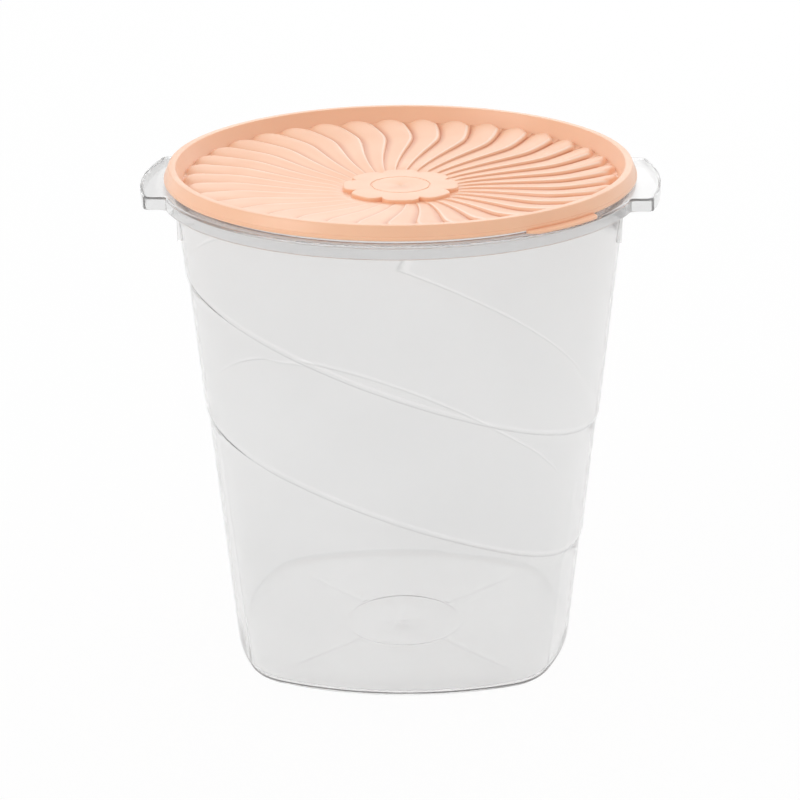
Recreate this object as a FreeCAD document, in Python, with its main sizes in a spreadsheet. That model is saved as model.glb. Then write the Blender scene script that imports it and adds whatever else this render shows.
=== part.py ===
import FreeCAD, Part
import math
import os

import Sketcher

# Food canister: a clear tapering tub and the pleated push-fit lid that seals it.
# Millimetres, +Z up, origin at the centre of the base, grip ears along X.

# Driving dimensions: alias, value, meaning
DIMENSIONS = [
    # Tub wall
    ("base_half_width", 95.0, "middle of the base to the middle of a side"),
    ("base_corner_radius", 32.0, "plan radius of the four base corners"),
    ("base_side_radius", 171.0, "plan radius of the four bowed base sides"),
    ("base_round", 5.5, "outer radius where the wall turns into the floor"),
    ("neck_radius", 124.0, "outer radius of the neck round the mouth"),
    ("shoulder", 1.1, "top of the wall behind the neck"),
    ("flange_top", 268.0, "base to the upper face of the flange"),
    ("neck_height", 7.3, "mouth above the flange"),
    ("wall", 1.8, "thickness of the tub wall and neck"),
    ("floor", 2.5, "thickness of the tub floor"),
    # Slanted steps
    ("step_depth", 1.2, "how far the wall steps in below each slanted line"),
    ("step_tilt", 20.1, "slant of the two lines in degrees, high at -X"),
    ("step_heading", 3.5, "direction in which the lines fall, in degrees from +X"),
    ("upper_step", 178.4, "height of the upper line over the origin"),
    ("lower_step", 105.7, "height of the lower line over the origin"),
    # Flange, ears and stacking lugs
    ("flange_reach", 6.3, "flange beyond the neck"),
    ("flange_wall", 1.6, "thickness of the flange and of its skirt"),
    ("skirt_depth", 7.2, "height of the turned-down skirt"),
    ("edge_round", 1.0, "radius along the upper edge of flange and ears"),
    ("ear_reach", 10.7, "ear beyond the flange"),
    ("ear_half_length", 42.5, "half of an ear along Y"),
    ("ear_corner", 4.0, "plan radius of the outer ear corners"),
    ("ear_root", 3.0, "plan radius where an ear leaves the flange"),
    ("lug_setback", 4.4, "lug face behind the outer face of the neck"),
    ("lug_spacing", 50.0, "between the two lugs under one ear"),
    ("lug_thickness", 2.0, "lug along Y"),
    ("lug_drop", 29.1, "lug below the upper face of the flange"),
    # Marks moulded on the floor
    ("mark_height", 0.5, "ring and ridges above the floor"),
    ("ring_radius", 34.3, "outer radius of the floor ring"),
    ("ring_width", 2.8, "width of the floor ring"),
    ("ridge_width", 2.5, "width of the four floor ridges"),
    ("ridge_length", 52.0, "ridge from the ring towards its corner"),
    # Lid rim
    ("fit", 0.3, "clearance between the lid channel and the neck"),
    ("lid_wall", 1.3, "thickness of the lid wall and panel"),
    ("crest_thickness", 1.8, "lid above the channel"),
    ("crest_overhang", 1.4, "outer edge of the crest beyond the neck"),
    ("crest_inset", 0.3, "inner edge of the crest behind the channel"),
    ("crest_round", 0.6, "radius along the edges of the crest"),
    ("lip_reach", 4.0, "lip beyond the neck"),
    ("lip_gap", 1.8, "lip above the flange"),
    ("lip_bead", 1.4, "height of the lip bead"),
    ("plug_depth", 3.0, "straight inner face of the channel"),
    ("tab_reach", 4.3, "lift tab beyond the lip"),
    ("tab_thickness", 1.5, "height of the lift tab"),
    ("tab_gap", 0.6, "lift tab above the flange"),
    ("tab_start", -58.0, "where the lift tab starts, in degrees from +X"),
    ("tab_span", 21.0, "length of the lift tab in degrees"),
    # Lid panel
    ("panel_inset", 3.9, "foot of the inner rim wall behind the channel"),
    ("panel_drop", 8.0, "panel edge below the crest"),
    ("dish_depth", 9.0, "panel middle below the panel edge"),
    ("pleat_start", 29.0, "radius where the pleats start"),
    ("pleat_end_inset", 2.0, "outer ends of the pleats behind the panel edge"),
    ("pleat_height", 2.2, "pleat crown above the panel at its outer end"),
    ("pleat_height_inner", 1.0, "pleat crown above the panel at the middle"),
    ("pleat_gap", 0.7, "gap between neighbouring pleats in degrees"),
    ("pleat_crown", 3.2, "crown of a pleat past its steep side, in degrees"),
    ("pleat_phase", 0.8, "direction of the first crease at the middle, in degrees"),
    ("swirl", 14.0, "largest swing of a pleat, in degrees clockwise"),
    ("swirl_wave", 116.0, "radial run of half a swing"),
    ("boss_lobe_radius", 10.8, "radius of each lobe of the centre boss"),
    ("boss_lobe_offset", 20.7, "centre of each lobe from the axis"),
    ("boss_height", 3.2, "boss above the middle of the panel"),
    ("boss_ring_radius", 16.0, "middle radius of the ring groove in the boss"),
    ("boss_ring_width", 1.0, "width of the ring groove"),
    ("boss_ring_depth", 0.4, "depth of the ring groove"),
]
PLEATS = 36
BOSS_LOBES = 8
TIERS = 3
QUARTERS = 4
PLEAT_SECTIONS = 7
TOUCH = 1e-4  # places closer than this are the same place
UPWARD = FreeCAD.Vector(0, 0, 1)

doc = FreeCAD.newDocument("food_canister")
dims = doc.addObject("Spreadsheet::Sheet", "dims")
for row, (alias, value, meaning) in enumerate(DIMENSIONS, start=1):
    dims.set(f"A{row}", meaning)
    dims.set(f"B{row}", str(value))
    dims.setAlias(f"B{row}", alias)
doc.recompute()


# Helpers
def measure(text):
    """Number that an expression over the sheet stands for."""
    result = dims.evalExpression(text)
    return float(getattr(result, "Value", result))


def bind(thing, expressions):
    """Tie properties of an object to expressions over the sheet."""
    for name, text in expressions.items():
        thing.setExpression(name, text)
    return thing


def cylinder(name, radius, height, base):
    thing = doc.addObject("Part::Cylinder", name)
    return bind(thing, {"Radius": radius, "Height": height, "Placement.Base.z": base})


def box(name, length, width, height, corner):
    thing = doc.addObject("Part::Box", name)
    bind(thing, {"Length": length, "Width": width, "Height": height})
    axes = ("x", "y", "z")
    return bind(thing, {f"Placement.Base.{axis}": text for axis, text in zip(axes, corner)})


def fuse(name, pieces):
    thing = doc.addObject("Part::MultiFuse", name)
    thing.Shapes = pieces
    return thing


def common(name, pieces):
    thing = doc.addObject("Part::MultiCommon", name)
    thing.Shapes = pieces
    return thing


def cut(name, base, tool):
    thing = doc.addObject("Part::Cut", name)
    thing.Base = base
    thing.Tool = tool
    return thing


def fillet(name, base, radius_of):
    """Round the edges of base for which radius_of(edge) gives a radius."""
    doc.recompute()
    chosen = []
    for number, edge in enumerate(base.Shape.Edges, start=1):
        radius = radius_of(edge)
        if radius:
            chosen.append((number, radius, radius))
    if not chosen:
        raise RuntimeError(f"{name} finds no edge to round")
    thing = doc.addObject("Part::Fillet", name)
    thing.Base = base
    thing.Edges = chosen
    return thing


def level_edge(edge, height):
    """True for an edge that lies flat at a height."""
    return max(abs(edge.BoundBox.ZMin - height), abs(edge.BoundBox.ZMax - height)) < TOUCH


def origin_plane(body, role):
    return next(plane for plane in body.Origin.OriginFeatures if plane.Role == role)


def new_sketch(body, name, role):
    sketch = body.newObject("Sketcher::SketchObject", name)
    sketch.AttachmentSupport = (origin_plane(body, role), "")
    sketch.MapMode = "FlatFace"
    return sketch


def pin(sketch, geometry, point, horizontal, vertical):
    """Fix a sketch point at two expressions, on an axis where one of them is None."""
    for kind, axis, text in (("DistanceX", -2, horizontal), ("DistanceY", -1, vertical)):
        if text is None:
            sketch.addConstraint(Sketcher.Constraint("PointOnObject", geometry, point, axis))
            continue
        number = sketch.addConstraint(
            Sketcher.Constraint(kind, -1, 1, geometry, point, measure(text)))
        sketch.setExpression(f"Constraints[{number}]", text)


def polygon(sketch, corners):
    """Closed outline of straight lines through corners given as pairs of expressions."""
    spots = []
    for horizontal, vertical in corners:
        spots.append(FreeCAD.Vector(measure(horizontal) if horizontal else 0.0, measure(vertical), 0))
    count = len(spots)
    for number in range(count):
        sketch.addGeometry(Part.LineSegment(spots[number], spots[(number + 1) % count]))
    for number in range(count):
        sketch.addConstraint(Sketcher.Constraint("Coincident", number, 2, (number + 1) % count, 1))
    for number, (horizontal, vertical) in enumerate(corners):
        pin(sketch, number, 1, horizontal, vertical)


# Tub wall: rings of eight arcs, whose seams keep their direction from base to mouth
SIDE_CENTRE = measure("dims.base_half_width - dims.base_side_radius")
RADIUS_STEP = measure("dims.base_side_radius - dims.base_corner_radius")
CORNER_CENTRE = (SIDE_CENTRE + math.sqrt(2 * RADIUS_STEP ** 2 - SIDE_CENTRE ** 2)) / 2
SEAM = math.degrees(math.atan2(CORNER_CENTRE, CORNER_CENTRE - SIDE_CENTRE))


def wall_ring(name, growth, top_growth, level):
    """Plan outline of the wall at a level, grown by growth at the base and top_growth at the mouth."""
    share = level / measure("dims.flange_top")
    mouth = measure("dims.neck_radius - dims.shoulder") + top_growth
    side_radius = (1 - share) * (measure("dims.base_side_radius") + growth) + share * mouth
    corner_radius = (1 - share) * (measure("dims.base_corner_radius") + growth) + share * mouth
    edges = []
    for quarter in range(QUARTERS):
        turn = quarter * 360 / QUARTERS
        spin = FreeCAD.Rotation(UPWARD, turn)
        side = spin.multVec(FreeCAD.Vector(SIDE_CENTRE * (1 - share), 0, level))
        corner_place = CORNER_CENTRE * (1 - share)
        corner = spin.multVec(FreeCAD.Vector(corner_place, corner_place, level))
        edges.append(Part.makeCircle(side_radius, side, UPWARD, turn - SEAM, turn + SEAM))
        edges.append(Part.makeCircle(corner_radius, corner, UPWARD, turn + SEAM, turn + 90 - SEAM))
    ring = doc.addObject("Part::Feature", name)
    ring.Shape = Part.Wire(edges)
    return ring


def wall_tier(name, tier, inset, low):
    """Solid from a low level up to the flange for one tier, counted from the top."""
    step = measure("dims.step_depth")
    growth = (TIERS - 1 - tier) * step - inset
    top_growth = -tier * step - inset
    loft = doc.addObject("Part::Loft", name)
    loft.Sections = [
        wall_ring(f"{name}_low_ring", growth, top_growth, low),
        wall_ring(f"{name}_high_ring", growth, top_growth, measure("dims.flange_top")),
    ]
    loft.Solid = True
    loft.Ruled = True
    return loft


def above_line(name, height):
    """Block that fills the space above a slanted line."""
    span = "(4 * dims.flange_top)"
    block = doc.addObject("Part::Box", name)
    bind(block, {"Length": span, "Width": span, "Height": span})
    heading = "rotation(vector(0; 0; 1); dims.step_heading)"
    tilt = "rotation(vector(0; 1; 0); dims.step_tilt)"
    corner = f"placement(vector(-{span} / 2; -{span} / 2; 0); rotation(vector(0; 0; 1); 0))"
    return bind(block, {
        "Placement": f"placement(vector(0; 0; {height}); {heading} * {tilt}) * {corner}"})


def stepped_wall(name, inset, low, lift, round_radius):
    """Stepped, tapering solid: the outside of the tub, or the space inside it."""
    lowest = wall_tier(f"{name}_low_tier", TIERS - 1, inset, low)
    rounded = fillet(f"{name}_rounded", lowest,
                     lambda edge: round_radius if level_edge(edge, low) else None)
    pieces = [rounded]
    for tier, line in ((1, "lower_step"), (0, "upper_step")):
        full = wall_tier(f"{name}_tier_{tier}", tier, inset, low)
        block = above_line(f"{name}_above_{line}", f"(dims.{line} + {lift})")
        pieces.append(common(f"{name}_{line}_tier", [full, block]))
    return fuse(name, pieces)


outside = stepped_wall("outside", 0.0, 0.0, "0", measure("dims.base_round"))
inside = stepped_wall("inside", measure("dims.wall"), measure("dims.floor"), "dims.wall",
                      measure("dims.base_round - dims.wall"))
bore = cylinder("bore", "dims.neck_radius - dims.wall", "2 * dims.neck_height", "dims.flange_top")
cavity = fuse("cavity", [inside, bore])
neck = cylinder("neck", "dims.neck_radius", "dims.neck_height + dims.flange_wall",
                "dims.flange_top - dims.flange_wall")


# Flange and ears: one tray outline, turned down all round and open below
def tray(name, inset, top):
    """Plate of the flange and ear outline, drawn in by inset, hanging down to the skirt's edge."""
    low = "dims.flange_top - dims.skirt_depth"
    height = f"{top} - ({low})"
    reach = f"(dims.neck_radius + dims.flange_reach + dims.ear_reach - {inset})"
    half = f"(dims.ear_half_length - {inset})"
    disc = cylinder(f"{name}_disc", f"dims.neck_radius + dims.flange_reach - {inset}", height, low)
    ear_disc = cylinder(f"{name}_ear_disc", reach, height, low)
    band = box(f"{name}_ear_band", f"2 * {reach}", f"2 * {half}", height,
               (f"-{reach}", f"-{half}", low))
    whole = fuse(f"{name}_whole", [disc, common(f"{name}_ears", [ear_disc, band])])
    middle = measure("dims.neck_radius + dims.flange_reach + dims.ear_reach / 2")

    def corner_radius(edge):
        if edge.BoundBox.ZLength < TOUCH or edge.BoundBox.XLength > TOUCH:
            return None
        spot = edge.Vertexes[0].Point
        if abs(abs(spot.y) - measure(half)) > TOUCH:
            return None
        if math.hypot(spot.x, spot.y) > middle:
            return measure(f"dims.ear_corner - {inset}")
        return measure(f"dims.ear_root + {inset}")

    return fillet(f"{name}_corners", whole, corner_radius)


plate = tray("plate", "0", "dims.flange_top")
plate_soft = fillet("plate_soft", plate, lambda edge: measure("dims.edge_round")
                    if level_edge(edge, measure("dims.flange_top")) else None)
hollow = tray("hollow", "dims.flange_wall", "(dims.flange_top - dims.flange_wall)")
flange = cut("flange", plate_soft, hollow)

# Stacking lugs: two upright plates under each ear, which the cavity trims to the wall
LUG_REACH = "(dims.neck_radius - dims.lug_setback)"
lugs = []
for lug_corner in (f"-{LUG_REACH}", f"{LUG_REACH} / 2"):
    for hand in (-1, 1):
        lugs.append(box(f"lug_{len(lugs)}", f"{LUG_REACH} / 2", "dims.lug_thickness",
                        "dims.lug_drop - dims.flange_wall / 2",
                        (lug_corner, f"({hand} * dims.lug_spacing - dims.lug_thickness) / 2",
                         "dims.flange_top - dims.lug_drop")))

# Floor marks: a ring and four ridges towards the corners
mark_size = "dims.mark_height + dims.floor / 2"
mark_low = "dims.floor / 2"
ring_outer = cylinder("ring_outer", "dims.ring_radius", mark_size, mark_low)
ring_inner = cylinder("ring_inner", "dims.ring_radius - dims.ring_width", mark_size, mark_low)
marks = [cut("floor_ring", ring_outer, ring_inner)]
for quarter in range(QUARTERS):
    heading = 45 + quarter * 360 / QUARTERS
    start = "(dims.ring_radius - dims.ring_width / 2)"
    ridge = box(f"ridge_{quarter}", "dims.ridge_length", "dims.ridge_width", mark_size, (
        f"{start} * cos({heading} deg) + dims.ridge_width / 2 * sin({heading} deg)",
        f"{start} * sin({heading} deg) - dims.ridge_width / 2 * cos({heading} deg)",
        mark_low))
    ridge.Placement.Rotation = FreeCAD.Rotation(UPWARD, heading)
    marks.append(ridge)

tub_blank = fuse("tub_blank", [outside, neck, flange] + lugs)
tub_shell = cut("tub_shell", tub_blank, cavity)
tub = fuse("tub", [tub_shell] + marks)

# Lid: a turned rim and panel, with the scalloped boss padded on
NECK_TOP = "(dims.flange_top + dims.neck_height)"
CEILING = f"({NECK_TOP} + dims.fit)"
CREST = f"({CEILING} + dims.crest_thickness)"
CHANNEL_INNER = "(dims.neck_radius - dims.wall - dims.fit)"
CHANNEL_OUTER = "(dims.neck_radius + dims.fit)"
LIP_RADIUS = "(dims.neck_radius + dims.lip_reach)"
LIP_LOW = "(dims.flange_top + dims.lip_gap)"
PANEL_RADIUS = f"({CHANNEL_INNER} - dims.panel_inset)"
PANEL_EDGE = f"({CREST} - dims.panel_drop)"
PANEL_MIDDLE = f"({PANEL_EDGE} - dims.dish_depth)"

shell = doc.addObject("PartDesign::Body", "lid_shell")
profile = new_sketch(shell, "lid_profile", "XZ_Plane")
polygon(profile, [
    (None, f"{PANEL_MIDDLE} - dims.lid_wall"),
    ("dims.pleat_start", f"{PANEL_MIDDLE} - dims.lid_wall"),
    (f"{PANEL_RADIUS} + dims.lid_wall", f"{PANEL_EDGE} - dims.lid_wall"),
    (CHANNEL_INNER, f"{CEILING} - dims.plug_depth"),
    (CHANNEL_INNER, CEILING),
    (CHANNEL_OUTER, CEILING),
    (f"{LIP_RADIUS} - dims.lid_wall", LIP_LOW),
    (LIP_RADIUS, LIP_LOW),
    (LIP_RADIUS, f"{LIP_LOW} + dims.lip_bead"),
    ("dims.neck_radius + dims.crest_overhang", CREST),
    (f"{CHANNEL_INNER} - dims.crest_inset", CREST),
    (PANEL_RADIUS, PANEL_EDGE),
    ("dims.pleat_start", PANEL_MIDDLE),
    (None, PANEL_MIDDLE),
])
turned = shell.newObject("PartDesign::Revolution", "lid_turned")
turned.Profile = profile
turned.ReferenceAxis = (profile, ["V_Axis"])
turned.Angle = 360
doc.recompute()

crest_edges = [f"Edge{number}" for number, edge in enumerate(turned.Shape.Edges, start=1)
               if level_edge(edge, measure(CREST))]
softened = shell.newObject("PartDesign::Fillet", "lid_crest")
softened.Base = (turned, crest_edges)
bind(softened, {"Radius": "dims.crest_round"})

lobes = new_sketch(shell, "boss_outline", "XY_Plane")
bind(lobes, {"AttachmentOffset.Base.z": f"{PANEL_MIDDLE} - dims.lid_wall / 2"})
lobe_step = 360 / BOSS_LOBES
notch_half = math.radians(lobe_step / 2)
lobe_offset = measure("dims.boss_lobe_offset")
lobe_radius = measure("dims.boss_lobe_radius")
notch_radius = lobe_offset * math.cos(notch_half) + math.sqrt(
    lobe_radius ** 2 - (lobe_offset * math.sin(notch_half)) ** 2)
lobe_sweep = math.atan2(notch_radius * math.sin(notch_half),
                        notch_radius * math.cos(notch_half) - lobe_offset)
for lobe in range(BOSS_LOBES):
    heading = math.radians(lobe * lobe_step)
    centre = FreeCAD.Vector(lobe_offset * math.cos(heading), lobe_offset * math.sin(heading), 0)
    circle = Part.Circle(centre, UPWARD, lobe_radius)
    lobes.addGeometry(Part.ArcOfCircle(circle, heading - lobe_sweep, heading + lobe_sweep))
for lobe in range(BOSS_LOBES):
    lobes.addConstraint(Sketcher.Constraint("Coincident", lobe, 2, (lobe + 1) % BOSS_LOBES, 1))
    number = lobes.addConstraint(Sketcher.Constraint("Radius", lobe, lobe_radius))
    lobes.setExpression(f"Constraints[{number}]", "dims.boss_lobe_radius")
    turn = lobe * lobe_step
    across = None if turn % 180 == 90 else f"dims.boss_lobe_offset * cos({turn} deg)"
    along = None if turn % 180 == 0 else f"dims.boss_lobe_offset * sin({turn} deg)"
    pin(lobes, lobe, 3, across, along)
boss = shell.newObject("PartDesign::Pad", "boss")
boss.Profile = lobes
bind(boss, {"Length": "dims.boss_height + dims.lid_wall / 2"})

groove_sketch = new_sketch(shell, "boss_ring_outline", "XY_Plane")
bind(groove_sketch, {"AttachmentOffset.Base.z": f"{PANEL_MIDDLE} + dims.boss_height"})
for sign in ("-", "+"):
    text = f"dims.boss_ring_radius {sign} dims.boss_ring_width / 2"
    number = groove_sketch.addGeometry(Part.Circle(FreeCAD.Vector(), UPWARD, measure(text)))
    groove_sketch.addConstraint(Sketcher.Constraint("Coincident", number, 3, -1, 1))
    bound = groove_sketch.addConstraint(Sketcher.Constraint("Radius", number, measure(text)))
    groove_sketch.setExpression(f"Constraints[{bound}]", text)
groove = shell.newObject("PartDesign::Pocket", "boss_ring")
groove.Profile = groove_sketch
bind(groove, {"Length": "dims.boss_ring_depth"})
shell.Tip = groove
doc.recompute()
if groove.Shape.Volume >= boss.Shape.Volume:
    raise RuntimeError("the ring groove removes nothing from the boss")


# Pleats: one swirling fold, repeated round the panel
def fold_section(radius, share):
    """Triangle across a fold at a radius, share of the way out along it."""
    dish_start = measure("dims.pleat_start")
    dish_end = measure(PANEL_RADIUS)
    slope = measure("dims.dish_depth") / (dish_end - dish_start)
    panel = measure(PANEL_MIDDLE) + slope * (radius - dish_start)
    crown = (1 - share) * measure("dims.pleat_height_inner") + share * measure("dims.pleat_height")
    swing = measure("dims.swirl") * math.sin(math.pi * (radius - dish_start) / measure("dims.swirl_wave"))
    crease = measure("dims.pleat_phase") - swing
    gap = measure("dims.pleat_gap") / 2
    root = panel - measure("dims.lid_wall") / 2
    corners = []
    for turn, height in ((gap, root), (measure("dims.pleat_crown"), panel + crown),
                         (360 / PLEATS - gap, root)):
        heading = math.radians(crease + turn)
        corners.append(FreeCAD.Vector(radius * math.cos(heading), radius * math.sin(heading), height))
    return Part.makePolygon(corners + corners[:1])


pleat_run = measure(f"{PANEL_RADIUS} - dims.pleat_end_inset - dims.pleat_start")
fold_rings = []
for number in range(PLEAT_SECTIONS):
    share = number / (PLEAT_SECTIONS - 1)
    fold_rings.append(fold_section(measure("dims.pleat_start") + share * pleat_run, share))
fold = Part.makeLoft(fold_rings, True, True)
folds = []
for number in range(PLEATS):
    turned_fold = fold.copy()
    turned_fold.rotate(FreeCAD.Vector(), UPWARD, number * 360 / PLEATS)
    folds.append(turned_fold)
pleats = doc.addObject("Part::Feature", "pleats")
pleats.Shape = Part.makeCompound(folds)

# Lift tab: a short tongue on the lip, over the flange
tab_outer = cylinder("tab_outer", f"{LIP_RADIUS} + dims.tab_reach", "dims.tab_thickness",
                     "dims.flange_top + dims.tab_gap")
tab_outer.Placement.Rotation = FreeCAD.Rotation(UPWARD, measure("dims.tab_start"))
bind(tab_outer, {"Angle": "dims.tab_span * 1 deg"})
tab_inner = cylinder("tab_inner", f"{LIP_RADIUS} - dims.lid_wall", "dims.tab_thickness",
                     "dims.flange_top + dims.tab_gap")
tab = cut("tab", tab_outer, tab_inner)
lid = fuse("lid", [shell, pleats, tab])

# Check everything, then write one file for each piece
doc.recompute()
for thing in doc.Objects:
    if "Invalid" in thing.State or "Error" in thing.State:
        raise RuntimeError(f"{thing.Name} failed: {thing.State}")
os.makedirs("parts", exist_ok=True)
for piece in (tub, lid):
    if piece.Shape.isNull() or not piece.Shape.isValid():
        raise RuntimeError(f"{piece.Label} has no valid shape")
    if len(piece.Shape.Solids) != 1:
        raise RuntimeError(f"{piece.Label} is {len(piece.Shape.Solids)} solids, not one")
for piece in (tub, lid):
    piece.Shape.exportStep(f"parts/{piece.Label}.step")
    print(f"{piece.Label}: {piece.Shape.Volume / 1000:.1f} cm3")
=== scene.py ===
import math

import bmesh
import bpy
import numpy as np
from bpy.props import FloatProperty, FloatVectorProperty, IntProperty, PointerProperty
from bpy.types import Operator, Panel, PropertyGroup
from mathutils import Matrix, Vector


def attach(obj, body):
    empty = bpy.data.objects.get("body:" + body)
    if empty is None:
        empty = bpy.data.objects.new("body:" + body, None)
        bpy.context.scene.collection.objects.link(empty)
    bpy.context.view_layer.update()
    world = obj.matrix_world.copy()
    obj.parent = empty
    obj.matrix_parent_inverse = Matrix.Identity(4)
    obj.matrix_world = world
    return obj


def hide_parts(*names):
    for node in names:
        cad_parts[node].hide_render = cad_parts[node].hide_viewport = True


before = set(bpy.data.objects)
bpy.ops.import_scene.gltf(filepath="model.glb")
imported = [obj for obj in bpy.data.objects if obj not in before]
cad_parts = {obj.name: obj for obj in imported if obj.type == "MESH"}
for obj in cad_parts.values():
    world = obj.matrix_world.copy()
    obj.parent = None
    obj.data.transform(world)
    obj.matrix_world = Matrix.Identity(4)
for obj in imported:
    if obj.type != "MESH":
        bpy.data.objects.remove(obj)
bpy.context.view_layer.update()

bl_info = {
    "name": "Food canister",
    "version": (1, 0, 0),
    "blender": (4, 5, 0),
    "location": "View3D > Sidebar > Canister",
    "description": "Clear food canister with a swirl-pleated push-fit lid",
    "category": "Object",
}

FULL_TURN = 2 * math.pi
QUARTER_TURN = math.pi / 2

# Shares of a step's bevel: gap between the close rows over its line, and reach of each painted shade line and
# painted glint line from its row
CRISP_SHARE = 0.1
MARK_SHARE = 0.05
# Rounds in which the levels of a step line and the edge of a lobe are found
LEVEL_ROUNDS = 12
LOBE_ROUNDS = 40
# Points along one pleat, across it, round the rim and round one lobe
PLEAT_ROWS = 64
PLEAT_COLUMNS = 17
RIM_COLUMNS = 288
LOBE_COLUMNS = 40
# How strongly a pleat's rows crowd to its tip, and its columns to its crease
ROW_CROWDING = 1.5
COLUMN_CROWDING = 1.8
# Share of the knee's radius over which a crease bends, and strength of its painted shade at the boss
KNEE_SOFTNESS = 0.07
CREASE_SHADE_AT_BOSS = 0.35
# Where a pleat has risen, in start radii, and the power by which it swells to its tip
RISEN_RADIUS = 1.35
SWELL_POWER = 2.5
# Distance within which the points that two pleats share are joined
WELD = 0.00001
# How blunt the tab's ends are, and the shares of its span that they take
TAB_BLUNT = 0.05
TAB_FIRST_END = 0.22
TAB_LAST_END = 0.08
# Gap under the base, the point that the lamps face, and their places and sizes
FLOOR_GAP = 0.0002
LAMP_AIM = (0, 0, 0.15)
KEY_PLACE = (-1.93, -1.22, 1.5)
KEY_SIZE = 1.3
BACK_PLACE = (0.5, 2.0, 1.7)
BACK_SIZE = 2.5


def length(name, description, default):
    """Property for a length in metres."""
    return FloatProperty(name=name, description=description, default=default, unit="LENGTH", precision=4)


def angle(name, description, degrees):
    """Property for an angle, given in degrees."""
    return FloatProperty(name=name, description=description, default=math.radians(degrees), subtype="ANGLE")


def share(name, description, default):
    """Property for a share of one."""
    return FloatProperty(name=name, description=description, default=default, min=0, max=1, subtype="FACTOR")


def colour(name, description, default):
    """Property for a linear colour."""
    return FloatVectorProperty(
        name=name, description=description, default=(*default, 1), size=4, min=0, max=1, subtype="COLOR")


class CanisterTubSizes(PropertyGroup):
    """Sizes of the clear tub."""
    base_half_width: length("Base half width", "From the axis to the middle of a base side", 0.095)
    base_corner_radius: length("Base corner radius", "Plan radius of the base corners", 0.032)
    base_side_radius: length("Base side radius", "Plan radius of the bowed base sides", 0.171)
    base_round: length("Base round", "Radius where the wall turns into the base", 0.0055)
    neck_radius: length("Neck radius", "Outside radius of the round neck", 0.124)
    shoulder: length("Shoulder", "How far the wall stands inside the neck", 0.0011)
    flange_top: length("Flange top", "Height of the flange's upper face", 0.268)
    neck_height: length("Neck height", "Height of the neck over the flange", 0.0073)
    wall: length("Wall", "Wall thickness", 0.0018)
    floor: length("Floor", "Floor thickness", 0.0025)
    step_depth: length("Step depth", "How far each slanted step sets the wall in", 0.0012)
    step_bevel: length("Step bevel", "Height over which a step fades into the wall below", 0.008)
    step_tilt: angle("Step tilt", "Slope of the step lines", 20.1)
    step_heading: angle("Step heading", "Plan direction in which the step lines fall", 3.5)
    upper_step: length("Upper step", "Height of the upper step line on the axis", 0.1784)
    lower_step: length("Lower step", "Height of the lower step line on the axis", 0.1057)
    flange_reach: length("Flange reach", "How far the flange stands out from the neck", 0.0063)
    flange_wall: length("Flange wall", "Thickness of the flange and its skirt", 0.0016)
    skirt_depth: length("Skirt depth", "Height of the turned-down skirt", 0.0072)
    edge_round: length("Edge round", "Radius of the flange's upper edge", 0.001)
    ear_reach: length("Ear reach", "How far the ears stand out from the flange", 0.0107)
    ear_half_length: length("Ear half length", "Half the length of an ear", 0.0425)
    ear_corner: length("Ear corner", "Plan radius of the ears' corners", 0.004)
    ear_root: length("Ear root", "Plan radius where an ear meets the flange", 0.003)
    lug_setback: length("Lug setback", "How far the lugs stand inside the neck", 0.0044)
    lug_spacing: length("Lug spacing", "Distance between the two lugs of an ear", 0.050)
    lug_thickness: length("Lug thickness", "Thickness of a stacking lug", 0.002)
    lug_depth: length("Lug depth", "How far a stacking lug reaches inwards", 0.0035)
    lug_drop: length("Lug drop", "From the flange's face to the lugs' lower ends", 0.0291)
    mark_height: length("Mark height", "Height of the floor's ring and ridges", 0.0003)
    ring_radius: length("Ring radius", "Outside radius of the floor ring", 0.0343)
    ring_width: length("Ring width", "Width of the floor ring", 0.0028)
    ridge_width: length("Ridge width", "Width of the floor ridges", 0.0025)
    ridge_length: length("Ridge length", "Length of the floor ridges", 0.052)
    # Painted shade: these dim the light let through the floor, the flange's top with the ears, and the skirt,
    # so they read darker.
    floor_painted_shade: share("Floor shade", "How much the thicker floor dims what is behind it", 0.514)
    flange_painted_shade: share("Flange shade", "How much the flange's top and the ears dim what is behind", 0.617)
    skirt_painted_shade: share("Skirt shade", "How much the flange's skirt dims what is behind it", 0.308)


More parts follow.
